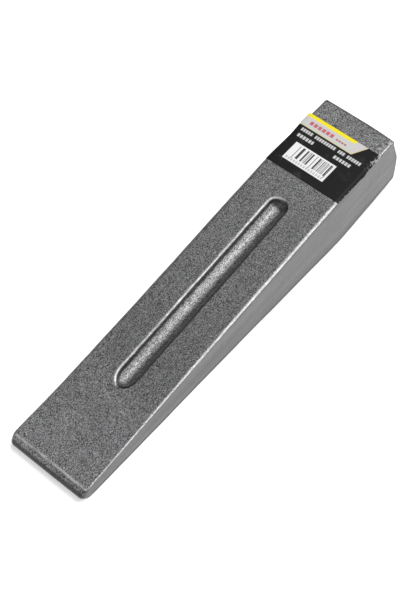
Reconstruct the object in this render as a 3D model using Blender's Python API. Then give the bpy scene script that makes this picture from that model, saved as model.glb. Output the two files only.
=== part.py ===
"""Splitting wedge: a one-piece steel forging with a printed label on its head block.

The wedge is modelled about its own middle plane, with x running from the striking
face to the tip, y across its width and z through its thickness. An empty then lays
it on its back: the lower tapered face rests on z = 0, +X points to the tip and +Z
is up. The origin is the centre of the footprint of its bounding box.
All lengths are in metres.
"""
import math

import bmesh
import bpy

# ------------------------------------------------------------------ dimensions
TOTAL_LENGTH = 0.2105        # striking face to tip
HEAD_LENGTH = 0.0449         # striking face to the bend where the taper starts
NOSE_LENGTH = 0.0037         # blunt nose in front of the tip crease
HALF_THICK_FACE = 0.01417    # half thickness at the striking face
HALF_THICK_BEND = 0.01566    # half thickness at the bend
HALF_THICK_CREASE = 0.00339  # half thickness at the tip crease
BEND_BLEND = 0.0035          # half length of the rounding at the bend
CREASE_BLEND = 0.0008        # half length of the rounding at the tip crease

CROWN = 0.00285              # how far the striking face falls away at its edges
CROWN_POWER = 1.7
FACE_FLAT = 0.0040           # half height of the flat in the middle of the face
HEAD_CORNER = 0.0026         # radius where the striking face meets the broad faces

# half width along the length: the sides are nearly parallel and flare at the tip
HALF_WIDTH = (
    (0.0000, 0.01912),
    (0.0220, 0.01968),
    (HEAD_LENGTH, 0.02012),
    (0.0850, 0.02015),
    (0.1250, 0.02015),
    (0.1560, 0.02025),
    (0.1810, 0.02048),
    (0.2068, 0.02090),
    (TOTAL_LENGTH, 0.02095),
)
ARRIS_HEAD = 0.0022          # radius of the long edges at the head
ARRIS_TIP = 0.0010           # the same at the tip
NOSE_CORNER = 0.0024         # corner radius of the tip, seen on the broad face
ARRIS_STEPS = 5

GROOVE_RADIUS = 0.0056       # radius of the groove in each broad face
GROOVE_DEPTH = 0.00295
GROOVE_START = 0.0575        # head end of the groove
GROOVE_END = 0.1648          # tip end of the groove
GROOVE_SEGMENTS = 40

LABEL_START = 0.0136         # label edges, from the striking face
LABEL_END = 0.0446
LABEL_GAP = 0.0003
LABEL_THICK = 0.0002
LABEL_WRAP = math.radians(66.0)   # how far it follows each rounded edge

TAPER = math.atan((HALF_THICK_BEND - HALF_THICK_CREASE)
                  / (TOTAL_LENGTH - NOSE_LENGTH - HEAD_LENGTH))


# -------------------------------------------------------------------- helpers
def interpolate(table, x):
    """Straight-line interpolation in a table of (x, value) pairs."""
    if x <= table[0][0]:
        return table[0][1]
    for (x0, v0), (x1, v1) in zip(table, table[1:]):
        if x <= x1:
            return v0 + (v1 - v0) * (x - x0) / (x1 - x0)
    return table[-1][1]


def half_width(x):
    return interpolate(HALF_WIDTH, x)


def head_half_thickness(x):
    slope = (HALF_THICK_BEND - HALF_THICK_FACE) / HEAD_LENGTH
    return HALF_THICK_FACE + slope * x


def taper_half_thickness(x):
    return HALF_THICK_BEND - math.tan(TAPER) * (x - HEAD_LENGTH)


def arris_radius(x):
    """Radius of the rounding between the broad faces and the sides."""
    crease = TOTAL_LENGTH - NOSE_LENGTH
    if x <= HEAD_LENGTH:
        return ARRIS_HEAD
    if x <= crease:
        t = (x - HEAD_LENGTH) / (crease - HEAD_LENGTH)
        return ARRIS_HEAD + (ARRIS_TIP - ARRIS_HEAD) * t
    t = min(1.0, (x - crease) / NOSE_LENGTH)
    return ARRIS_TIP + (NOSE_CORNER - ARRIS_TIP) * t * t * (3.0 - 2.0 * t)


def blend(p0, corner, p1, steps):
    """Quadratic blend from p0 to p1 round a corner."""
    points = []
    for i in range(steps + 1):
        t = i / steps
        a, b, c = (1 - t) ** 2, 2 * t * (1 - t), t * t
        points.append((a * p0[0] + b * corner[0] + c * p1[0],
                       a * p0[1] + b * corner[1] + c * p1[1]))
    return points


def upper_outline():
    """Upper half of the side view, from the striking face to the tip."""
    points = [(0.0, FACE_FLAT)]
    # crowned striking face
    top = HALF_THICK_FACE
    scale = CROWN / top ** CROWN_POWER

    def crown(z):
        return scale * (z ** CROWN_POWER - FACE_FLAT ** CROWN_POWER)

    z_end = top - HEAD_CORNER * 0.92
    for i in range(1, 6):
        z = FACE_FLAT + (z_end - FACE_FLAT) * i / 5.0
        points.append((crown(z), z))
    # rounded corner, blended into the upper face of the head block
    x_out = crown(z_end) + HEAD_CORNER * 0.92 + 0.0003
    lean = CROWN_POWER * scale * z_end ** (CROWN_POWER - 1.0)
    x_corner = crown(z_end) + lean * (head_half_thickness(x_out) - z_end)
    corner = (x_corner, head_half_thickness(x_corner))
    end = (x_corner + HEAD_CORNER, head_half_thickness(x_corner + HEAD_CORNER))
    points += blend(points[-1], corner, end, 6)[1:]
    # upper face of the head block, in steps that follow the width table
    points.append((0.0220, head_half_thickness(0.0220)))
    # bend into the taper
    b0, b1 = HEAD_LENGTH - BEND_BLEND, HEAD_LENGTH + BEND_BLEND
    points += blend((b0, head_half_thickness(b0)), (HEAD_LENGTH, HALF_THICK_BEND),
                    (b1, taper_half_thickness(b1)), 4)
    for x in (0.0850, 0.1250, 0.1560, 0.1810, 0.1940):
        points.append((x, taper_half_thickness(x)))
    # crease, then the elliptical nose
    crease = TOTAL_LENGTH - NOSE_LENGTH
    c0 = crease - CREASE_BLEND
    nose = []
    for i in range(1, 10):
        a = math.radians(10.0 * i)
        nose.append((crease + NOSE_LENGTH * math.sin(a),
                     HALF_THICK_CREASE * math.cos(a)))
    points.append((c0, taper_half_thickness(c0)))
    points.append((crease + 0.0001, HALF_THICK_CREASE * 0.993))
    points += nose[:-1] + [(TOTAL_LENGTH, 0.0)]
    return points


def outline_normals(points):
    """Outward direction at each point of a closed, counter-clockwise outline."""
    normals = []
    n = len(points)
    for i in range(n):
        ax, az = points[i - 1]
        bx, bz = points[i]
        cx, cz = points[(i + 1) % n]
        d1 = math.hypot(bx - ax, bz - az)
        d2 = math.hypot(cx - bx, cz - bz)
        n1 = ((bz - az) / d1, -(bx - ax) / d1)
        n2 = ((cz - bz) / d2, -(cx - bx) / d2)
        nx, nz = n1[0] + n2[0], n1[1] + n2[1]
        length = math.hypot(nx, nz)
        nx, nz = nx / length, nz / length
        mitre = 1.0 / max(0.5, nx * n1[0] + nz * n1[1])
        normals.append((nx * mitre, nz * mitre))
    return normals


def material(name, colour, roughness, metallic):
    mat = bpy.data.materials.new(name)
    mat.use_nodes = True
    shader = mat.node_tree.nodes["Principled BSDF"]
    shader.inputs["Base Color"].default_value = (*colour, 1.0)
    shader.inputs["Roughness"].default_value = roughness
    shader.inputs["Metallic"].default_value = metallic
    return mat


def add_object(name, bm, mat=None):
    bmesh.ops.recalc_face_normals(bm, faces=bm.faces)
    mesh = bpy.data.meshes.new(name)
    bm.to_mesh(mesh)
    bm.free()
    ob = bpy.data.objects.new(name, mesh)
    bpy.context.scene.collection.objects.link(ob)
    if mat is not None:
        mesh.materials.append(mat)
    return ob


# ----------------------------------------------------------------- wedge body
def make_body():
    upper = upper_outline()
    lower = [(x, -z) for x, z in upper[:-1]]
    # counter-clockwise in (x, z): along the lower side to the tip, back on top
    outline = lower + list(reversed(upper))
    normals = outline_normals(outline)
    bm = bmesh.new()
    rings = []
    for side in (-1.0, 1.0):
        ring_set = []
        for k in range(ARRIS_STEPS + 1):
            a = math.radians(90.0) * k / ARRIS_STEPS
            ring = []
            for (x, z), (nx, nz) in zip(outline, normals):
                r = arris_radius(x)
                inset = r * (1.0 - math.sin(a))
                y = half_width(x) - r * (1.0 - math.cos(a))
                ring.append(bm.verts.new((x - nx * inset, side * y, z - nz * inset)))
            ring_set.append(ring)
        rings.append(ring_set)
    # from the left side face, over the broad faces, to the right side face
    sequence = rings[0] + list(reversed(rings[1]))
    n = len(outline)
    for ring_a, ring_b in zip(sequence, sequence[1:]):
        for i in range(n):
            j = (i + 1) % n
            bm.faces.new((ring_a[i], ring_a[j], ring_b[j], ring_b[i]))
    # the side faces: strips between the lower and the upper half of the outline
    for ring in (sequence[0], sequence[-1]):
        tip = (n - 1) // 2
        for i in range(tip - 1):
            bm.faces.new((ring[i], ring[i + 1], ring[n - 2 - i], ring[n - 1 - i]))
        bm.faces.new((ring[tip - 1], ring[tip], ring[tip + 1]))
    mat = material("grey_coat", (0.150, 0.151, 0.154), 0.42, 0.35)
    return add_object("wedge_body", bm, mat)


# --------------------------------------------------------------- groove cutter
def make_groove_cutter(name, side):
    """Long capsule whose axis runs parallel to one tapered face."""
    chord = math.sqrt(GROOVE_RADIUS ** 2 - (GROOVE_RADIUS - GROOVE_DEPTH) ** 2)
    half = ((GROOVE_END - GROOVE_START) / 2.0 - chord) / math.cos(TAPER)
    bm = bmesh.new()
    profile = []
    steps = 9
    for i in range(steps + 1):
        a = math.radians(90.0) * i / steps
        profile.append((-half - GROOVE_RADIUS * math.cos(a), GROOVE_RADIUS * math.sin(a)))
    for i in range(steps + 1):
        a = math.radians(90.0) * i / steps
        profile.append((half + GROOVE_RADIUS * math.sin(a), GROOVE_RADIUS * math.cos(a)))
    verts = [bm.verts.new((x, 0.0, max(r, 0.0))) for x, r in profile]
    edges = [bm.edges.new(pair) for pair in zip(verts, verts[1:])]
    bmesh.ops.spin(bm, geom=verts + edges, cent=(0, 0, 0), axis=(1, 0, 0),
                   angle=2.0 * math.pi, steps=GROOVE_SEGMENTS, use_duplicate=False)
    bmesh.ops.remove_doubles(bm, verts=bm.verts, dist=1e-6)
    ob = add_object(name, bm)
    mid = (GROOVE_START + GROOVE_END) / 2.0
    height = GROOVE_RADIUS - GROOVE_DEPTH
    ob.location = (mid + height * math.sin(TAPER), 0.0,
                   side * (taper_half_thickness(mid) + height * math.cos(TAPER)))
    ob.rotation_euler = (0.0, side * TAPER, 0.0)
    ob.hide_render = True
    ob.display_type = 'WIRE'
    return ob


# ----------------------------------------------------------------------- label
def make_label():
    """Thin film over the upper face of the head block and round its two edges."""
    bm = bmesh.new()
    rows = []
    steps = 5
    r = ARRIS_HEAD + LABEL_GAP
    for i in range(5):
        x = LABEL_START + (LABEL_END - LABEL_START) * i / 4.0
        w = half_width(x) - ARRIS_HEAD
        h = head_half_thickness(x) - ARRIS_HEAD
        section = []
        for k in range(steps, 0, -1):
            a = LABEL_WRAP * k / steps
            section.append((-w - r * math.sin(a), h + r * math.cos(a)))
        for k in range(0, 7):
            section.append((-w + 2.0 * w * k / 6.0, h + r))
        for k in range(1, steps + 1):
            a = LABEL_WRAP * k / steps
            section.append((w + r * math.sin(a), h + r * math.cos(a)))
        rows.append([bm.verts.new((x, y, z)) for y, z in section])
    for row_a, row_b in zip(rows, rows[1:]):
        for k in range(len(row_a) - 1):
            bm.faces.new((row_a[k], row_b[k], row_b[k + 1], row_a[k + 1]))
    mat = material("label_print", (0.020, 0.020, 0.022), 0.35, 0.0)
    ob = add_object("label", bm, mat)
    # the open sheet's faces have to look away from the steel before it is thickened
    if ob.data.polygons[len(ob.data.polygons) // 2].normal.z < 0.0:
        ob.data.flip_normals()
    film = ob.modifiers.new("film", 'SOLIDIFY')
    film.thickness = LABEL_THICK
    film.offset = 1.0
    film.use_even_offset = True
    return ob


# -------------------------------------------------------------------- assembly
def main():
    for ob in list(bpy.data.objects):
        bpy.data.objects.remove(ob, do_unlink=True)

    body = make_body()
    # where the rotated outline starts and ends along X
    xs = [v.co.x * math.cos(TAPER) + v.co.z * math.sin(TAPER) for v in body.data.vertices]
    centre_x = (min(xs) + max(xs)) / 2.0
    rest_height = HEAD_LENGTH * math.sin(TAPER) + HALF_THICK_BEND * math.cos(TAPER)

    pose = bpy.data.objects.new("lying_on_back", None)
    bpy.context.scene.collection.objects.link(pose)
    pose.location = (-centre_x, 0.0, rest_height)
    pose.rotation_euler = (0.0, TAPER, 0.0)

    body.parent = pose
    for name, side in (("groove_cutter_front", 1.0), ("groove_cutter_back", -1.0)):
        cutter = make_groove_cutter(name, side)
        cutter.parent = pose
        cut = body.modifiers.new(name, 'BOOLEAN')
        cut.operation = 'DIFFERENCE'
        cut.object = cutter
    label = make_label()
    label.parent = pose

    for ob in (body, label):
        ob.data.shade_smooth()
        ob.data.set_sharp_from_angle(angle=math.radians(30.0))


main()
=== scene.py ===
"""Looks for the splitting wedge: a fine forging mesh with its grey coat, and the printed film on its head."""
import math

import bpy
import numpy as np
from mathutils import Matrix, Vector, noise


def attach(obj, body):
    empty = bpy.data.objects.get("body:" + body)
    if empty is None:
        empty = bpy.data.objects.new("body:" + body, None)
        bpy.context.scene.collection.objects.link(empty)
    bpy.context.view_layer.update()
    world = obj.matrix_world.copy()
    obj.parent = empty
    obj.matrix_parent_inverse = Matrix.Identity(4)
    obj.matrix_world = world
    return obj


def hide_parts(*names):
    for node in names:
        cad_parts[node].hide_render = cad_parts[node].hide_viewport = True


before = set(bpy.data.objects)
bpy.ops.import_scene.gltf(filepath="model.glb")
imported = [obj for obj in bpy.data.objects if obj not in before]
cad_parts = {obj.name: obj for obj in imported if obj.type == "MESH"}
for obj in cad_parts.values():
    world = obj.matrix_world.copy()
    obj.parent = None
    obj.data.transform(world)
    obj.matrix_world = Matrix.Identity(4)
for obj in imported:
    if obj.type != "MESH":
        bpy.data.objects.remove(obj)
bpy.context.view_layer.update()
SCENE = bpy.context.scene

# ------------------------------------------------------------------ dimensions
# millimetres, about the wedge's middle plane; x runs from the striking face to the tip
LENGTH = 210.5
BEND = 44.9
CREASE = 206.8
H_FACE, H_BEND, H_CREASE = 14.17, 15.66, 3.39
TAPER = math.atan((H_BEND - H_CREASE) / (CREASE - BEND))
CROWN, CROWN_POWER = 2.45, 1.35
CROWN_LEFT, CROWN_RIGHT = 0.10, 0.85    # how far the striking face falls back at its left and right edges
HEAD_CORNER = 1.9
R_NOSE = 2.5
GROOVE_X0, GROOVE_X1, GROOVE_Y = 61.27, 158.5, 0.14
GROOVE_E0, GROOVE_E1 = 1.20, 0.70       # how blunt each rounded end of the groove is
LABEL_X0, LABEL_X1 = 13.6, 44.65

W_RIGHT = np.array([(0, 19.10), (22, 19.75), (44.9, 20.28), (85, 20.29), (125, 20.29), (156, 20.39),
                    (181, 20.47), (206.8, 20.55), (210.5, 20.56)])
W_LEFT = np.array([(0, 19.10), (22, 19.62), (44.9, 19.97), (85, 20.01), (125, 20.02), (156, 20.12),
                   (181, 20.48), (206.8, 21.28), (210.5, 21.38)])


def smooth_interp(table, x):
    """Monotone cubic interpolation of a table of (x, value)."""
    xs, vs = table[:, 0], table[:, 1]
    h = np.diff(xs)
    d = np.diff(vs) / h
    m = np.zeros(len(xs))
    for i in range(1, len(xs) - 1):
        if d[i - 1] * d[i] > 0:
            w1, w2 = 2 * h[i] + h[i - 1], h[i] + 2 * h[i - 1]
            m[i] = (w1 + w2) / (w1 / d[i - 1] + w2 / d[i])
    m[0], m[-1] = d[0], d[-1]
    x = np.clip(x, xs[0], xs[-1])
    k = np.clip(np.searchsorted(xs, x) - 1, 0, len(h) - 1)
    t = (x - xs[k]) / h[k]
    return ((1 + 2 * t) * (1 - t) ** 2 * vs[k] + t * (1 - t) ** 2 * h[k] * m[k]
            + t * t * (3 - 2 * t) * vs[k + 1] + t * t * (t - 1) * h[k] * m[k + 1])


def half_thickness(x):
    """Half thickness of the head block and taper, with the bend rounded."""
    slope = (H_BEND - H_FACE) / BEND
    a = H_FACE + slope * x
    b = H_BEND - math.tan(TAPER) * (x - BEND)
    k = 0.30
    return 0.5 * (a + b) - 0.5 * np.sqrt((a - b) ** 2 + k * k)


def smoothstep(a, b, x):
    t = np.clip((x - a) / (b - a), 0, 1)
    return t * t * (3 - 2 * t)


def arris_profile(n=16):
    """Section of a long edge: a soft bevel of about 28 degrees, then a tight turn into the side.

    Returns lean (radians), inset from the side and inset from the broad face, side last."""
    fine = 400
    s = np.linspace(0, 2.25, fine)
    lean = np.interp(s, [0, 0.5, 1.5, 2.25], np.radians([0, 26, 30, 90]))
    ds = np.diff(s)
    mid = 0.5 * (lean[1:] + lean[:-1])
    a = np.concatenate([[0], np.cumsum(np.cos(mid) * ds)])
    b = np.concatenate([[0], np.cumsum(np.sin(mid) * ds)])
    want = np.concatenate([np.linspace(0, 0.5, 5), [0.83, 1.17], np.linspace(1.5, 2.25, n - 7)])
    pick = np.interp(want, s, np.arange(fine)).round().astype(int)
    return lean[pick], (a[-1] - a)[pick], b[pick], want


A_LEAN, A_SIDE, A_FACE, A_ARC = arris_profile()
SIZE_TABLE = np.array([(0, 0.30), (3, 0.40), (8, 0.60), (14, 0.78), (30, 0.93), (45, 0.94), (115, 0.90), (150, 0.74),
                       (195, 0.42), (206.8, 0.40)])


def arris_size(x):
    return np.interp(x, SIZE_TABLE[:, 0], SIZE_TABLE[:, 1])


def arris_insets(i, x):
    """Inset from the side and from the face of profile point i at each x."""
    size = arris_size(x)
    t = smoothstep(CREASE - 1.2, LENGTH - 0.4, x)
    a = A_SIDE[i] * size * (1 - t) + R_NOSE * (1 - math.sin(A_LEAN[i])) * t
    b = A_FACE[i] * size * (1 - t) + R_NOSE * (1 - math.cos(A_LEAN[i])) * t
    return a, b


# ------------------------------------------------------------- row frame matrix
POSE = Matrix.Translation((-0.1047979, 0.0, 0.0190083)) @ Matrix.Rotation(TAPER, 4, 'Y')
POSE_NP = np.array(POSE)


def to_row(points_mm):
    p = np.asarray(points_mm, float) * 0.001
    return p @ POSE_NP[:3, :3].T + POSE_NP[:3, 3]


# ------------------------------------------------------------------ value noise
def _hash(ix, iy, iz, seed):
    h = (ix.astype(np.int64) * 374761393 + iy.astype(np.int64) * 668265263
         + iz.astype(np.int64) * 2147483647 + seed * 1274126177) & 0xFFFFFFFF
    h = ((h ^ (h >> 13)) * 1274126177) & 0xFFFFFFFF
    h = ((h ^ (h >> 16)) * 2246822519) & 0xFFFFFFFF
    h = h ^ (h >> 15)
    return (h & 0xFFFFFF).astype(float) / 0x7FFFFF - 1.0


def value_noise(p, size, seed=0):
    """Smooth noise in -1..1 with features about `size` across."""
    q = np.asarray(p, float) / size + 1000.0
    i = np.floor(q).astype(np.int64)
    f = q - i
    f = f * f * f * (f * (f * 6 - 15) + 10)
    out = 0.0
    for dx in (0, 1):
        for dy in (0, 1):
            for dz in (0, 1):
                w = (np.where(dx, f[:, 0], 1 - f[:, 0]) * np.where(dy, f[:, 1], 1 - f[:, 1])
                     * np.where(dz, f[:, 2], 1 - f[:, 2]))
                out = out + w * _hash(i[:, 0] + dx, i[:, 1] + dy, i[:, 2] + dz, seed)
    return out


# --------------------------------------------------------------------- outline
def upper_outline():
    """Upper half of the side view, striking face to tip, finely divided."""
    top = H_FACE
    z_end = top - HEAD_CORNER * 0.95
    zs = np.linspace(0, z_end, 28)
    scale = CROWN / top ** CROWN_POWER
    pts = [(scale * z ** CROWN_POWER, z) for z in zs]
    lean = CROWN_POWER * scale * z_end ** (CROWN_POWER - 1)
    x_c = pts[-1][0] + lean * (top - z_end)
    h = lambda x: float(half_thickness(np.array([x]))[0])
    corner = (x_c, h(x_c))
    end = (x_c + HEAD_CORNER, h(x_c + HEAD_CORNER))
    start = pts[-1]
    for i in range(1, 15):
        t = i / 14
        a, b, c = (1 - t) ** 2, 2 * t * (1 - t), t * t
        pts.append((a * start[0] + b * corner[0] + c * end[0],
                    a * start[1] + b * corner[1] + c * end[1]))
    x = pts[-1][0]
    xs = list(np.arange(x + 0.55, 51.0, 0.55)) + list(np.arange(51.0, CREASE - 3.0, 0.45)) \
        + list(np.arange(CREASE - 3.0, CREASE - 0.9, 0.3))
    pts += [(float(v), h(v)) for v in xs]
    # crease: blend the straight taper into the elliptical nose
    s = (CREASE - 0.9, h(CREASE - 0.9))
    a0 = math.radians(14)
    e = (CREASE + (LENGTH - CREASE) * math.sin(a0), H_CREASE * math.cos(a0))
    c = (CREASE - 0.05, H_CREASE * 1.003)
    for i in range(0, 7):
        t = i / 7
        pts.append(tuple((1 - t) ** 2 * s[k] + 2 * t * (1 - t) * c[k] + t * t * e[k] for k in (0, 1)))
    for a in np.linspace(a0, math.pi / 2, 15):
        pts.append((CREASE + (LENGTH - CREASE) * math.sin(a), H_CREASE * math.cos(a)))
    pts[-1] = (LENGTH, 0.0)
    return np.array(pts)


def closed_normals(pts):
    fwd = np.roll(pts, -1, 0) - pts
    bwd = pts - np.roll(pts, 1, 0)
    nf = np.stack([fwd[:, 1], -fwd[:, 0]], 1)
    nb = np.stack([bwd[:, 1], -bwd[:, 0]], 1)
    nf /= np.linalg.norm(nf, axis=1)[:, None]
    nb /= np.linalg.norm(nb, axis=1)[:, None]
    n = nf + nb
    return n / np.linalg.norm(n, axis=1)[:, None]


def groove_section():
    """Half section of the groove, from its rim to its middle line: arcs of 1.13, 3.5 and 5.77 mm radius."""
    steps = [(1.13, 0, 60), (3.50, 60, 35), (5.77, 35, 0)]
    s, lean = [0.0], [0.0]
    for radius, a, b in steps:
        s.append(s[-1] + radius * math.radians(abs(b - a)))
        lean.append(math.radians(b))
    fine = np.linspace(0, s[-1], 900)
    th = np.interp(fine, s, lean)
    ds = fine[1] - fine[0]
    yy = np.concatenate([[0], np.cumsum(np.cos(0.5 * (th[1:] + th[:-1])) * ds)])
    dd = np.concatenate([[0], np.cumsum(np.sin(0.5 * (th[1:] + th[:-1])) * ds)])
    return (yy[-1] - yy)[::-1], dd[::-1]


G_RHO, G_DEPTH = groove_section()
G_HALF = float(G_RHO[-1])


def groove_distance(x, y):
    """Distance from the groove's middle line, stretched along its rounded ends."""
    over = np.maximum(0, np.maximum((GROOVE_X0 - x) * GROOVE_E0, (x - GROOVE_X1) * GROOVE_E1))
    middle = np.interp(x, [60, 110, 150], [-0.02, 0.12, 0.17])
    wide = np.interp(x, [60, 125], [1.025, 1.0])
    return np.hypot(over, y - middle) / wide


def groove_depth(rho):
    """Depth of the groove against the distance from its middle line."""
    return np.interp(rho, G_RHO, G_DEPTH)


def build_wedge():
    up = upper_outline()
    lower = up[:-1] * np.array([1, -1])
    # the first point (z = 0 on the striking face) is shared
    outline = np.concatenate([lower[1:], up[::-1]])
    n = len(outline)
    normals = closed_normals(outline)
    # rows across the width
    inner = np.linspace(-7.0, 7.0, 49)
    K = len(A_LEAN)
    rows = []
    for k in range(K - 1, -1, -1):
        rows.append(('L', k))
    for t in np.linspace(0, 1, 22)[1:]:
        rows.append(('l', t))
    for y in inner[1:-1]:
        rows.append(('c', y))
    for t in np.linspace(1, 0, 22)[:-1]:
        rows.append(('r', t))
    for k in range(K):
        rows.append(('R', k))
    V = []
    x, z = outline[:, 0], outline[:, 1]
    r = arris_insets(0, x)[0]
    WL, WR = smooth_interp(W_LEFT, x), smooth_interp(W_RIGHT, x)
    for kind, a in rows:
        if kind in 'LR':
            off, inset = arris_insets(a, x)
            w = WL if kind == 'L' else WR
            y = (w - off) * (-1 if kind == 'L' else 1)
        else:
            inset = np.zeros(n)
            if kind == 'l':
                y = -(WL - r) * (1 - a) + (-7.0) * a
            elif kind == 'r':
                y = (WR - r) * (1 - a) + 7.0 * a
            else:
                y = np.full(n, a)
        V.append(np.stack([x - normals[:, 0] * inset, y, z - normals[:, 1] * inset], 1))
    V = np.array(V)                       # rows x n x 3
    nr = len(rows)
    idx = np.arange(nr * n).reshape(nr, n)
    F = []
    a = idx[:-1]
    b = idx[1:]
    q = np.stack([a, np.roll(a, -1, 1), np.roll(b, -1, 1), b], 2).reshape(-1, 4)
    F.append(q)
    verts = [V.reshape(-1, 3)]
    count = nr * n
    # side faces: strips between the lower and upper half of the outline
    m = len(up) - 2                       # lower points, without the face centre and the tip
    tip = m                               # index of the tip point
    lo = np.arange(0, m)
    hi = n - 2 - lo                       # matching upper points; index n-1 is the face centre
    NZ = 40
    for ring, flip in ((idx[0], False), (idx[-1], True)):
        ring_v = V[0] if not flip else V[-1]
        A, B = ring_v[lo], ring_v[hi]
        inner_idx = []
        for j in range(1, NZ):
            t = j / NZ
            inner_idx.append(np.arange(count, count + m))
            verts.append(A * (1 - t) + B * t)
            count += m
        cols = [ring[lo]] + inner_idx + [ring[hi]]
        cols = np.array(cols)             # NZ+1 x m
        a, b = cols[:-1], cols[1:]
        q = np.stack([a[:, :-1], b[:, :-1], b[:, 1:], a[:, 1:]], 2).reshape(-1, 4)
        F.append(q if not flip else q[:, ::-1])
        # fans that close the strip at the tip and at the striking face
        for end, col in ((ring[tip], cols[:, -1]), (ring[n - 1], cols[:, 0])):
            tri = [(col[i], col[i + 1], end) for i in range(NZ)]
            F.append(np.array([t + (t[2],) for t in tri]))
    P = np.concatenate(verts)
    faces = np.concatenate(F)
    # edge angle of each point, for the worn and painted-highlight edges: 0 on the faces, 1 in the middle of a bevel
    edge = np.zeros(len(P))
    right = np.zeros(len(P))
    for j, (kind, a) in enumerate(rows):
        if kind in 'LR':
            e = float(np.interp(A_ARC[a], [0.3, 1.15, 1.6, 2.15], [0, 1, 0.8, 0]))
            edge[j * n:(j + 1) * n] = e
            right[j * n:(j + 1) * n] = 1.0 if kind == 'R' else 0.0
    return P, faces, edge, right


def make_mesh(name, P_row, faces):
    mesh = bpy.data.meshes.new(name)
    polys = [tuple(f) if f[2] != f[3] else (f[0], f[1], f[2]) for f in faces.tolist()]
    mesh.from_pydata(P_row.tolist(), [], polys)
    mesh.validate()
    import bmesh
    bm = bmesh.new()
    bm.from_mesh(mesh)
    bmesh.ops.recalc_face_normals(bm, faces=bm.faces)
    bm.to_mesh(mesh)
    bm.free()
    mesh.shade_smooth()
    ob = bpy.data.objects.new(name, mesh)
    SCENE.collection.objects.link(ob)
    return ob


def vertex_normals(mesh):
    out = np.zeros(len(mesh.vertices) * 3, np.float32)
    mesh.vertex_normals.foreach_get("vector", out)
    return out.reshape(-1, 3).astype(float)


def displace_wedge(P, N):
    """Forging shape: crown across the face, groove, undulation and grain. P, N in millimetres."""
    x, y, z = P.T
    Q = P.copy()
    # crown of the striking face across the width
    Wd = np.where(y > 0, smooth_interp(W_RIGHT, x), smooth_interp(W_LEFT, x))
    fall = np.where(y > 0, CROWN_RIGHT + 0.55 * smoothstep(-3.0, 8.0, z) * smoothstep(13.6, 11.5, z), CROWN_LEFT)
    Q[:, 0] += fall * (y / Wd) ** 2 * smoothstep(9.0, 1.0, x)
    # grooves in both broad faces
    dist = groove_distance(x, y)
    wall = np.stack([x, np.where(y > GROOVE_Y, 300.0, 0.0), z * 0], 1)
    wob = 0.10 * value_noise(wall, 17.0, 5) + 0.15 * value_noise(wall, 7.0, 6) + 0.07 * value_noise(wall, 3.0, 8)
    wob = wob * smoothstep(0.6, 2.6, np.abs(y - GROOVE_Y))
    g = groove_depth(dist + wob)
    face = (np.abs(N[:, 2]) > 0.9) & (x > BEND + 3) & (x < CREASE)
    g = np.where(face, g, 0)
    Q[:, 2] -= np.sign(z) * g * math.cos(TAPER)
    Q[:, 0] -= g * math.sin(TAPER)
    broad = smoothstep(0.55, 0.9, np.abs(N[:, 2]))
    # undulation of the forging
    und = 0.11 * value_noise(P, 26.0, 1) + 0.045 * value_noise(P, 9.0, 2) + 0.022 * value_noise(P, 3.6, 3)
    grain = (0.013 * value_noise(P, 1.35, 4) + 0.011 * value_noise(P, 0.8, 7)) * (0.25 + 0.75 * broad)
    Q += N * (und * smoothstep(0, 4, x) + grain)[:, None]
    return Q


P0, F0, EDGE0, RIGHT0 = build_wedge()
wedge = make_mesh("wedge_forging", P0, F0)
N0 = vertex_normals(wedge.data)
P1 = displace_wedge(P0, N0)
P1_row = to_row(P1)
P1_row[:, 2] = np.maximum(P1_row[:, 2], 0.00001)   # it rests on its lower cheek
wedge.data.vertices.foreach_set("co", P1_row.ravel().astype(np.float32))
wedge.data.update()


def put_attribute(mesh, name, values):
    layer = mesh.attributes.new(name, 'FLOAT', 'POINT')
    layer.data.foreach_set("value", np.clip(values, 0, 1).astype(np.float32))


# light marks on the upper face, as (x, y) in millimetres
SCRATCHES = (
    ((168.7, -5.7), (170.7, -2.0), (171.3, -0.4), (171.5, 1.3)),
    ((169.4, 2.2), (170.4, 5.6)),
    ((173.0, 8.7), (173.2, 10.7)),
    ((186.9, -11.8), (187.9, -10.7), (189.2, -8.2), (190.9, -5.0)),
    ((187.4, -9.6), (185.2, -7.6), (184.5, -3.9)),
)


def scratch_mask(x, y, path):
    near = np.full(len(x), 1e9)
    for (x0, y0), (x1, y1) in zip(path[:-1], path[1:]):
        dx, dy = x1 - x0, y1 - y0
        t = np.clip(((x - x0) * dx + (y - y0) * dy) / (dx * dx + dy * dy), 0, 1)
        near = np.minimum(near, np.hypot(x - x0 - t * dx, y - y0 - t * dy))
    return np.exp(-(near / 0.30) ** 2)


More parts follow.
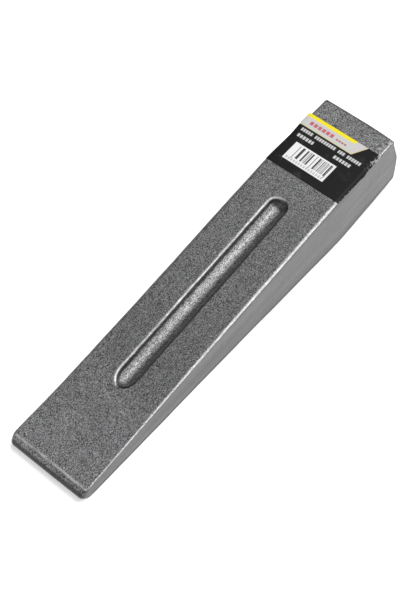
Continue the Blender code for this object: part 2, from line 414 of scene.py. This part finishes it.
def wear_masks(P, N):
    """Worn metal with painted highlights on the edges, crease and groove rims; painted shade on downward faces, the
    side's foot and the nose; painted light and shade in the coat's tone.
    """
    x, y, z = P.T
    patchy = value_noise(P * np.array([0.35, 1, 1]), 3.0, 21) * 0.5 + value_noise(P, 1.1, 22) * 0.5
    # edges: bright metal colour that is partly worn metal and partly a painted highlight, strongest on the right-hand
    # upper edge and faint on the under edges
    wear_and_highlight = EDGE0 * (0.45 + 0.55 * RIGHT0) * (0.15 + 0.85 * smoothstep(-0.2, 0.3, N[:, 2] + 0.5 * np.sign(z)))
    wear_and_highlight = wear_and_highlight * np.clip(0.92 + 0.35 * patchy, 0, 1)
    wear_and_highlight = wear_and_highlight * np.interp(x, [0, 3, 14, 20, 60, 90, 120, 190, 204, 209],
                            [0.2, 0.50, 0.66, 0.8, 0.88, 0.98, 1, 0.98, 0.65, 0.0])
    # left rims of the grooves: a painted highlight in bright metal colour, partly worn metal
    dist = groove_distance(x, y)
    on_face = (x > BEND + 3) & (x < CREASE - 2) & (np.abs(N[:, 2]) > 0.8)
    rim = np.exp(-((dist - (G_HALF - 0.18)) / 0.52) ** 2) * on_face
    rim = rim * smoothstep(np.interp(x, [157, 162], [2.0, 0.2]), np.interp(x, [157, 162], [-1.0, -2.4]), y)
    wear_and_highlight = np.maximum(wear_and_highlight, rim * np.clip((0.60 + 0.5 * patchy) * np.interp(x, [110, 145], [1.0, 1.2]), 0, 1))
    # crease at the tip: a painted highlight in bright metal colour, partly worn metal
    bow = CREASE + 0.20 + 0.10 * value_noise(P * np.array([0.0, 1, 0]), 5.0, 23)
    crease = np.exp(-((x - bow) / 0.48) ** 2) * (N[:, 2] > 0.3) * (np.abs(y) < 20.2)
    crease = crease * np.clip(0.92 + 0.9 * patchy, 0, 1)
    # knocked corner beside the striking face
    knock = smoothstep(12.0, 17.0, y) * smoothstep(0.5, 4.0, x) * smoothstep(16.0, 12.5, x) * (N[:, 2] > 0.5)
    speckle = value_noise(P, 1.5, 31) * 0.6 + value_noise(P, 0.9, 32) * 0.4
    wear_and_highlight = np.maximum(wear_and_highlight, knock * smoothstep(0.15, 0.5, speckle) * 0.42)
    wear_and_highlight = wear_and_highlight * (1 - 0.75 * knock * smoothstep(0.15, 0.5, -speckle))
    # the long edge is chipped and broken up beside the striking face
    chips = value_noise(P, 1.4, 61) * 0.6 + value_noise(P, 0.8, 62) * 0.4
    chipped = smoothstep(16.0, 12.0, x) * (EDGE0 > 0) * (z > 0)
    wear_and_highlight = wear_and_highlight * (1 - 0.8 * chipped * smoothstep(0.12, -0.25, chips))
    # painted shade of a small pit near the corner
    pit = np.exp(-(np.hypot(x - 7.0, y - 17.4) / 0.6) ** 2) * (N[:, 2] > 0.3)
    wear_and_highlight = np.maximum(wear_and_highlight, crease)
    for path in SCRATCHES:
        wear_and_highlight = np.maximum(wear_and_highlight, 0.60 * scratch_mask(x, y, path) * (N[:, 2] > 0.8) * np.clip(0.8 + 0.9 * patchy, 0, 1))
    # painted shade: a near-black coat on faces that turn down and to the side
    painted_shade = smoothstep(0.0, -0.25, N[:, 2]) * smoothstep(0.30, 0.50, np.abs(N[:, 1]))
    # painted shade: the side is darkened at its lower edge and where it meets the striking face
    side = np.abs(N[:, 1]) > 0.7
    foot = z + half_thickness(x) - A_FACE[-1] * arris_size(x)
    foot = foot / np.interp(x, [45, 195], [1.0, 0.6])
    shade = np.maximum(0.95 * smoothstep(2.5, 1.3, foot), 0.24 * smoothstep(5.0, 1.5, foot))
    painted_shade = np.maximum(painted_shade, shade * (np.abs(N[:, 1]) > 0.35) * (z < 0) * (x < CREASE - 2))
    front = np.minimum(x - CROWN * (np.abs(z) / H_FACE) ** CROWN_POWER, 50)
    painted_shade = np.maximum(painted_shade, 0.5 * smoothstep(1.7, 0.3, front) * (np.abs(N[:, 1]) > 0.35) * (x < 8))
    # painted shade over the nose
    nose = smoothstep(CREASE + 1.9, LENGTH - 0.5, x)
    # tone of the coat along and across the faces, and in the groove's walls: painted light and shade, lighter or
    # darker for how the light falls
    tone = np.interp(x, [0, 13, 30, 60, 150, 175, 203], [0.80, 0.79, 0.74, 0.72, 0.76, 1.00, 1.18])
    tone = tone * (1 - 0.0050 * np.clip(y, -20, 20))
    # groove: a painted highlight across its floor and painted shade on its walls
    inside = np.interp(dist, [0, 2.2, 3.4, 4.0, 4.7, 5.05], [1.24, 1.04, 0.93, 0.60, 0.62, 0.85])
    right_side = smoothstep(0.8, 1.8, y) * np.interp(dist, [0.9, 1.8, 2.4, 3.0, 3.7, 4.2, 4.75, 5.2],
                                                     [0.18, 0.42, 0.32, 0.02, -0.26, -0.18, 0.34, 0.34])
    right_side = right_side * np.where(dist < 3.0, np.interp(x, [70, 110], [0.55, 1.0]), 1.0)
    left_side = smoothstep(-1.2, -2.0, y) * np.interp(dist, [1.4, 2.2, 2.8, 3.4], [0.0, 0.38, 0.30, 0.05])
    left_side = left_side * np.interp(x, [70, 105, 115, 145], [1.0, 0.1, 0.1, 1.0])
    right_side = right_side + left_side
    # painted shadow in the groove's rounded ends and on its left wall near the tip
    head_end = smoothstep(GROOVE_X0 + 0.6, GROOVE_X0 - 0.8, x) * np.interp(
        dist, [0.1, 0.6, 1.2, 1.9, 2.6, 3.4, 4.2, 5.1], [0.05, 0.25, 0.60, 0.66, 0.42, 0.36, 0.22, 0])
    tip_end = smoothstep(158.5, 161.5, x) * smoothstep(-3.0, -0.8, y) * np.interp(
        dist, [3.9, 4.5, 5.0, 5.4], [0, 0.32, 0.42, 0.20])
    left_wall = 0.22 * smoothstep(148, 154, x) * smoothstep(-1.5, -3.0, y) * np.interp(dist, [3.2, 3.7, 4.3, 4.6], [0, 1, 1, 0])
    inside = inside * np.interp(x, [60, 61.2, 62.5, 70, 110, 150], [1.04, 1.10, 1.18, 1.06, 1.10, 1.13])
    inside = np.maximum(inside - right_side - head_end - tip_end - left_wall, 0.05)
    blend = smoothstep(G_HALF + 0.15, G_HALF - 0.35, dist) * on_face
    tone = tone * (1 - blend) + inside * blend
    # long faint bands along the sides: painted light and shade standing for the forging's draft faces and parting
    # line
    rise = (z + half_thickness(x)) / (2 * half_thickness(x))
    drift = 0.03 * value_noise(P * np.array([1.0, 0, 0]), 40.0, 51)
    strength = 0.75 + 0.25 * value_noise(P * np.array([1.0, 0, 0]), 25.0, 52)
    bands = 0.10 * np.exp(-((rise - 0.30 + drift) / 0.10) ** 2) - 0.15 * np.exp(-((rise - 0.52 + drift) / 0.07) ** 2)
    tone = np.where(side, 1.0 + bands * strength * smoothstep(20, 50, x), tone)
    return wear_and_highlight, np.maximum(np.maximum(painted_shade, nose), 0.8 * pit), tone / 1.6


WEAR_AND_HIGHLIGHT, PAINTED_SHADE_VALUES, LIGHT_AND_SHADE_TONE = wear_masks(P0, N0)
put_attribute(wedge.data, "wear_and_highlight", WEAR_AND_HIGHLIGHT)
put_attribute(wedge.data, "painted_shade", PAINTED_SHADE_VALUES)
put_attribute(wedge.data, "coat_light_and_shade", LIGHT_AND_SHADE_TONE)


# ------------------------------------------------------------------- materials
class Nodes:
    """Small helper for building a node tree."""

    def __init__(self, mat):
        self.tree = mat.node_tree
        self.shader = self.tree.nodes["Principled BSDF"]

    def new(self, kind, **props):
        node = self.tree.nodes.new(kind)
        for key, value in props.items():
            setattr(node, key, value)
        return node

    def link(self, a, b):
        self.tree.links.new(a, b)

    def put(self, socket, value):
        if isinstance(value, (int, float, tuple)):
            socket.default_value = value
        else:
            self.link(value, socket)

    def math(self, op, a, b=None, c=None, clamp=False):
        node = self.new("ShaderNodeMath", operation=op, use_clamp=clamp)
        for i, v in enumerate((a, b, c)):
            if v is not None:
                self.put(node.inputs[i], v)
        return node.outputs[0]

    def ramp(self, value, lo, hi, a=0.0, b=1.0, kind='SMOOTHSTEP'):
        node = self.new("ShaderNodeMapRange", interpolation_type=kind)
        self.put(node.inputs[0], value)
        for i, v in ((1, lo), (2, hi), (3, a), (4, b)):
            node.inputs[i].default_value = v
        return node.outputs[0]

    def noise(self, coord, scale, detail=2.0, rough=0.5, dims='3D'):
        node = self.new("ShaderNodeTexNoise", noise_dimensions=dims)
        self.link(coord, node.inputs["Vector"])
        node.inputs["Scale"].default_value = scale
        node.inputs["Detail"].default_value = detail
        node.inputs["Roughness"].default_value = rough
        return node.outputs["Fac"]

    def mix(self, fac, a, b):
        node = self.new("ShaderNodeMix", data_type='RGBA')
        self.put(node.inputs[0], fac)
        self.put(node.inputs[6], a)
        self.put(node.inputs[7], b)
        return node.outputs[2]


def new_material(name):
    mat = bpy.data.materials.new(name)
    mat.use_nodes = True
    return mat


def grey_coat():
    mat = new_material("grey_coat")
    k = Nodes(mat)
    obj = k.new("ShaderNodeTexCoord").outputs["Object"]
    geo = k.new("ShaderNodeNewGeometry")
    sep = k.new("ShaderNodeSeparateXYZ")
    k.link(geo.outputs["Normal"], sep.inputs[0])
    side = k.ramp(k.math('ABSOLUTE', sep.outputs["Y"]), 0.55, 0.92)
    fine = k.noise(obj, 4600.0, 1.0, 0.6)
    mid = k.noise(obj, 620.0, 3.0, 0.6)
    wide = k.noise(obj, 45.0, 3.0, 0.5)
    wear_and_highlight = k.new("ShaderNodeAttribute", attribute_name="wear_and_highlight").outputs["Fac"]
    painted_shade = k.new("ShaderNodeAttribute", attribute_name="painted_shade").outputs["Fac"]
    cell = k.new("ShaderNodeTexVoronoi", feature='F1')
    k.link(obj, cell.inputs["Vector"])
    cell.inputs["Scale"].default_value = 4000.0
    flake = k.new("ShaderNodeSeparateColor")
    k.link(cell.outputs["Color"], flake.inputs[0])
    tone = k.math('ADD', k.math('MULTIPLY', fine, 0.55), k.math('MULTIPLY', flake.outputs[0], 0.65))
    tone = k.math('ADD', tone, k.math('MULTIPLY', k.math('SUBTRACT', mid, 0.5), 0.12))
    tone = k.math('POWER', k.ramp(tone, 0.22, 1.0, 0.0, 1.0, 'LINEAR'), 1.7)
    speck = k.mix(tone, (0.009, 0.009, 0.0093, 1), (0.395, 0.396, 0.401, 1))
    along = k.new("ShaderNodeMapping")
    k.link(obj, along.inputs["Vector"])
    along.inputs["Rotation"].default_value = (0.0, -TAPER, 0.0)
    along.inputs["Scale"].default_value = (7.0, 30.0, 210.0)
    streak = k.noise(along.outputs[0], 1.0, 2.0, 0.5)
    smooth_tone = k.math('ADD', k.math('MULTIPLY', streak, 0.62), k.math('MULTIPLY', mid, 0.23))
    smooth_tone = k.math('ADD', smooth_tone, k.math('MULTIPLY', flake.outputs[0], 0.15))
    smooth_tone = k.ramp(smooth_tone, 0.32, 0.68, 0.0, 1.0, 'LINEAR')
    smooth = k.mix(smooth_tone, (0.062, 0.063, 0.065, 1), (0.125, 0.126, 0.129, 1))
    # painted light and shade: the coat colours are scaled by the painted tone carried on the mesh
    light_and_shade_level = k.new("ShaderNodeAttribute", attribute_name="coat_light_and_shade").outputs["Fac"]
    grow = k.new("ShaderNodeVectorMath", operation='SCALE')
    k.link(speck, grow.inputs[0])
    k.link(k.math('MULTIPLY', light_and_shade_level, 1.6), grow.inputs["Scale"])
    place = k.new("ShaderNodeSeparateXYZ")
    k.link(obj, place.inputs[0])
    fade = k.new("ShaderNodeVectorMath", operation='SCALE')
    k.link(smooth, fade.inputs[0])
    # painted light: the side's colour is made lighter toward the tip
    fall = k.ramp(place.outputs[0], -0.095, 0.09, 0.90, 1.06, 'LINEAR')
    k.link(k.math('MULTIPLY', fall, k.math('MULTIPLY', light_and_shade_level, 1.6)), fade.inputs["Scale"])
    colour = k.mix(side, grow.outputs[0], fade.outputs[0])
    # painted shade: near-black coat where the painted-shade attribute is set
    colour = k.mix(k.math('MULTIPLY', painted_shade, 0.9), colour, (0.012, 0.012, 0.0125, 1))
    # worn metal colour, also used for the painted highlights on the edges, crease and groove rims
    worn_metal_and_highlight = k.mix(tone, (0.30, 0.30, 0.305, 1), (0.62, 0.62, 0.625, 1))
    colour = k.mix(wear_and_highlight, colour, worn_metal_and_highlight)
    k.link(colour, k.shader.inputs["Base Color"])
    k.link(k.math('ADD', 0.70, k.math('MULTIPLY', wear_and_highlight, 0.28)), k.shader.inputs["Metallic"])
    rough = k.ramp(fine, 0.3, 0.7, 0.27, 0.38, 'LINEAR')
    k.link(k.math('ADD', rough, k.math('MULTIPLY', wear_and_highlight, 0.06)), k.shader.inputs["Roughness"])
    h = k.math('ADD', k.math('MULTIPLY', fine, 0.7), k.math('MULTIPLY', mid, 0.35))
    bump = k.new("ShaderNodeBump")
    k.link(h, bump.inputs["Height"])
    k.link(k.math('SUBTRACT', 0.75, k.math('MULTIPLY', side, 0.6)), bump.inputs["Strength"])
    bump.inputs["Distance"].default_value = 0.00022
    k.link(bump.outputs["Normal"], k.shader.inputs["Normal"])
    return mat


wedge.data.materials.append(grey_coat())
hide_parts("wedge_body")
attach(wedge, "root")


# ----------------------------------------------------------------------- label
def build_label():
    nx, ny = 190, 150
    us = np.linspace(LABEL_X0, LABEL_X1, nx)
    pts, uvs = [], []
    for u in us:
        ua = np.array([u])
        size = float(arris_size(ua)[0])
        WL = float(smooth_interp(W_LEFT, ua)[0])
        WR = float(smooth_interp(W_RIGHT, ua)[0])
        h = float(half_thickness(ua)[0])
        inset = A_SIDE[0] * size
        place = np.array([[u, 0.0, 0.0]])
        edge = float(value_noise(place, 3.1, 41)[0] + 1.0 * value_noise(place, 1.0, 42)[0]
                     + 0.7 * value_noise(place, 0.45, 43)[0])
        s_r = (A_ARC[-1] - 0.42) * size + 0.15 * edge
        s_l = (A_ARC[-1] - 0.30) * size
        if u < 17.5:
            s_r += 0.75 * (17.5 - u) / 4.0
        s_r += 0.7 * math.exp(-((u - 26.2) / 1.6) ** 2)
        lift = 0.85 * float(smoothstep(29.0, 15.0, u))
        flat_l, flat_r = WL - inset, WR - inset
        total = s_l + flat_l + flat_r + s_r
        for i in range(ny):
            s = total * i / (ny - 1) - s_l
            if 0 <= s <= flat_l + flat_r:
                y, z, v = s - flat_l, h + 0.06, s - flat_l
            else:
                sign = -1 if s < 0 else 1
                arc = -s if s < 0 else s - flat_l - flat_r
                W = WL if s < 0 else WR
                t = arc / size
                down = max(0.0, t - A_ARC[-1]) * size
                lean = float(np.interp(t, A_ARC, A_LEAN))
                a = float(np.interp(t, A_ARC, A_SIDE)) * size
                b = float(np.interp(t, A_ARC, A_FACE)) * size + down
                y = sign * (W - a + 0.06 * math.sin(lean))
                z = h - b + 0.06 * math.cos(lean)
                v = sign * ((flat_l if s < 0 else flat_r) + arc)
                if s < 0:
                    w = (arc / s_l) ** 1.6
                    y -= lift * w
                    z += 0.35 * lift * w
            pts.append((u, y, z))
            uvs.append((u, v))
    P = np.array(pts)
    idx = np.arange(nx * ny).reshape(nx, ny)
    q = np.stack([idx[:-1, :-1], idx[1:, :-1], idx[1:, 1:], idx[:-1, 1:]], 2).reshape(-1, 4)
    return P, q, np.array(uvs)


PL, FL, UVL = build_label()
label_mesh = bpy.data.meshes.new("head_label")
label_mesh.from_pydata(to_row(PL).tolist(), [], FL.tolist())
label_mesh.validate()
uv = label_mesh.uv_layers.new(name="print")
loops = np.zeros(len(label_mesh.loops), np.int32)
label_mesh.loops.foreach_get("vertex_index", loops)
uv.data.foreach_set("uv", (UVL[loops] * 0.02).ravel().astype(np.float32))
label_mesh.shade_smooth()
label = bpy.data.objects.new("head_label", label_mesh)
SCENE.collection.objects.link(label)
film = label.modifiers.new("film", 'SOLIDIFY')
film.thickness = 0.00010
film.offset = 1.0


def label_print():
    mat = new_material("label_print")
    k = Nodes(mat)
    uvn = k.new("ShaderNodeUVMap", uv_map="print")
    sep = k.new("ShaderNodeSeparateXYZ")
    k.link(uvn.outputs[0], sep.inputs[0])
    u = k.math('MULTIPLY', sep.outputs[0], 50.0)
    v = k.math('MULTIPLY', sep.outputs[1], 50.0)

    def band(c, lo, hi, soft=0.08):
        a = k.ramp(c, lo - soft, lo + soft)
        b = k.ramp(c, hi - soft, hi + soft, 1.0, 0.0)
        return k.math('MULTIPLY', a, b)

    def rect(u0, u1, v0, v1, soft=0.08):
        return k.math('MULTIPLY', band(u, u0, u1, soft), band(v, v0, v1, soft))

    obj = k.new("ShaderNodeTexCoord").outputs["Object"]
    smudge = k.ramp(k.noise(obj, 130.0, 4.0, 0.7), 0.52, 0.80)
    colour = k.mix(smudge, (0.0070, 0.0070, 0.0074, 1), (0.030, 0.030, 0.030, 1))
    # silver band with a slanted end; slant: v = 12.7 at u = 13.6, 8.5 at u = 20.8
    slant = k.math('ADD', v, k.math('MULTIPLY', k.math('SUBTRACT', u, 13.6), 0.583))
    silver = k.math('MULTIPLY', band(u, 10.0, 20.8), k.ramp(slant, 12.62, 12.78, 1.0, 0.0))
    outline = k.math('MULTIPLY', band(u, 10.0, 20.8), band(slant, 12.35, 12.95))
    yellow = k.math('MULTIPLY', band(u, 10.0, 15.4), k.ramp(slant, 7.0, 7.3, 1.0, 0.0))
    tint = k.ramp(k.noise(obj, 300.0, 2.0, 0.5), 0.35, 0.65)
    foil = k.mix(tint, (0.415, 0.385, 0.390, 1), (0.385, 0.412, 0.390, 1))
    colour = k.mix(silver, colour, foil)
    low_line = k.math('MULTIPLY', band(u, 20.35, 20.85, 0.10), k.ramp(slant, 12.62, 12.78, 1.0, 0.0))
    colour = k.mix(k.math('MULTIPLY', k.math('MAXIMUM', outline, low_line), 0.85), colour, (0.46, 0.40, 0.22, 1))
    colour = k.mix(yellow, colour, (0.60, 0.50, 0.018, 1))
    # plain red and white blocks and bars; there is no lettering
    def cells(coord, size, seed, keep):
        q = k.math('DIVIDE', coord, size)
        cell = k.new("ShaderNodeTexWhiteNoise", noise_dimensions='1D')
        k.link(k.math('ADD', k.math('FLOOR', q), seed), cell.inputs["W"])
        return k.math('LESS_THAN', cell.outputs["Value"], keep), k.math('FRACT', q)


    def blocks(coord, pitch, start, gap=0.26):
        """Plain solid blocks, evenly spaced."""
        step = k.math('FRACT', k.math('DIVIDE', k.math('SUBTRACT', coord, start), pitch))
        return k.math('LESS_THAN', step, 1.0 - gap)

    red = (0.34, 0.016, 0.045, 1)
    big = k.math('MULTIPLY', rect(16.9, 18.9, -16.2, -2.7), blocks(v, 2.25, -16.2))
    small = k.math('MULTIPLY', rect(17.8, 18.8, -1.6, 4.3), blocks(v, 1.5, -1.6))
    colour = k.mix(k.math('MULTIPLY', k.math('MAXIMUM', big, small), 0.80), colour, red)
    words = k.math('MAXIMUM', rect(21.9, 23.65, -17.3, -10.9), rect(21.9, 23.65, -9.6, 1.8))
    words = k.math('MAXIMUM', words, rect(21.9, 23.65, 3.2, 6.9))
    words = k.math('MAXIMUM', words, rect(21.9, 23.65, 8.1, 15.5))
    line1 = k.math('MULTIPLY', words, blocks(v, 1.27, -17.3))
    area2 = k.math('MAXIMUM', rect(25.4, 27.15, -16.7, -8.0), rect(25.4, 27.15, 3.1, 12.5))
    line2 = k.math('MULTIPLY', area2, blocks(v, 1.55, -16.7))
    colour = k.mix(k.math('MAXIMUM', line1, line2), colour, (0.40, 0.40, 0.40, 1))
    panel = rect(29.8, 40.05, -14.45, 7.9)
    colour = k.mix(panel, colour, (0.56, 0.56, 0.56, 1))
    on, fr = cells(v, 0.42, 35.5, 0.50)
    thin, fr2 = cells(v, 0.21, 68.5, 0.50)
    pick, fr3 = cells(v, 1.9, 12.5, 0.50)
    stripes = k.math('ADD', k.math('MULTIPLY', on, k.math('SUBTRACT', 1.0, pick)), k.math('MULTIPLY', thin, pick))
    stripes = k.math('MULTIPLY', stripes, 0.94)
    bars = k.math('MULTIPLY', rect(30.6, 37.4, -11.0, 6.4), stripes)
    guard = k.math('MAXIMUM', rect(30.6, 38.3, -11.2, -10.9, 0.03), rect(30.6, 38.3, -1.9, -1.6, 0.03))
    guard = k.math('MAXIMUM', guard, rect(30.6, 38.3, 6.5, 6.8, 0.03))
    ticks = k.math('MULTIPLY', rect(38.1, 39.4, -13.4, 6.6), blocks(v, 1.38, -13.4, 0.45))
    ink = k.math('MAXIMUM', bars, guard)
    ink = k.math('MAXIMUM', ink, k.math('MULTIPLY', ticks, 0.42))
    colour = k.mix(ink, colour, (0.012, 0.012, 0.012, 1))
    # scuffed right-hand edge, where the film has rubbed through
    scuff = k.noise(obj, 900.0, 3.0, 0.65)
    near = k.math('MULTIPLY', k.ramp(v, 16.6, 19.4), k.ramp(u, 27.0, 17.0))
    near = k.math('MAXIMUM', near, k.math('MULTIPLY', k.ramp(v, 19.2, 20.6), 0.75))
    rubbed = k.ramp(k.math('ADD', scuff, k.math('MULTIPLY', near, 0.22)), 0.66, 0.74)
    rubbed = k.math('MULTIPLY', rubbed, near)
    colour = k.mix(rubbed, colour, (0.30, 0.30, 0.30, 1))
    k.link(colour, k.shader.inputs["Base Color"])
    k.shader.inputs["Roughness"].default_value = 0.45
    k.shader.inputs["Specular IOR Level"].default_value = 0.08
    return mat


label.data.materials.append(label_print())
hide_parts("label")
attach(label, "root")

# ----------------------------------------------------------------------- stage
floor_mesh = bpy.data.meshes.new("floor")
floor_mesh.from_pydata([(-3, -3, 0), (3, -3, 0), (3, 3, 0), (-3, 3, 0)], [], [(0, 1, 2, 3)])
floor = bpy.data.objects.new("floor", floor_mesh)
floor.location.z = -0.0002
SCENE.collection.objects.link(floor)
floor_mat = new_material("floor")
fn = Nodes(floor_mat)
fn.shader.inputs["Base Color"].default_value = (0.7, 0.7, 0.7, 1)
fn.shader.inputs["Roughness"].default_value = 0.9
fn.shader.inputs["Specular IOR Level"].default_value = 0.0
fn.shader.inputs["Emission Color"].default_value = (1, 1, 1, 1)
fn.shader.inputs["Emission Strength"].default_value = 0.50
floor.data.materials.append(floor_mat)


def area_light(name, location, target, size, size_y, power):
    data = bpy.data.lights.new(name, 'AREA')
    data.shape = 'RECTANGLE'
    data.size, data.size_y = size, size_y
    data.energy = power
    ob = bpy.data.objects.new(name, data)
    ob.location = location
    ob.rotation_euler = (Vector(target) - Vector(location)).to_track_quat('-Z', 'Y').to_euler()
    SCENE.collection.objects.link(ob)
    return ob


area_light("key", (-0.42, 0.27, 1.15), (0, 0, 0), 1.15, 0.80, 26.0)
area_light("front", (1.15, -0.50, 0.85), (0.1, 0, 0), 0.9, 0.7, 5.0)

world = bpy.data.worlds.new("studio")
SCENE.world = world
world.use_nodes = True
world.node_tree.nodes["Background"].inputs[0].default_value = (1, 1, 1, 1)
world.node_tree.nodes["Background"].inputs[1].default_value = 0.12

# ---------------------------------------------------------------------- camera
cam_data = bpy.data.cameras.new("camera")
cam_data.sensor_width = 36.0
cam_data.lens = 1500.0 / 601.0 * 36.0
cam_data.clip_start = 0.01
cam_data.shift_x, cam_data.shift_y = -0.5 / 601.0, 0.5 / 601.0
camera = bpy.data.objects.new("camera", cam_data)
SCENE.collection.objects.link(camera)
right = Vector((-0.6555317083790866, 0.7536660158947849, -0.04759953565822107))
up = Vector((-0.6476930275197158, -0.528709378327988, 0.5485983370102182))
back = Vector((0.3882936020744367, 0.39045349243324007, 0.8347299855850062))
rot = Matrix((right, up, back)).transposed().to_4x4()
camera.matrix_world = Matrix.Translation((0.25573390, 0.24887794, 0.54704770)) @ rot
SCENE.camera = camera
SCENE.view_settings.view_transform = 'Standard'
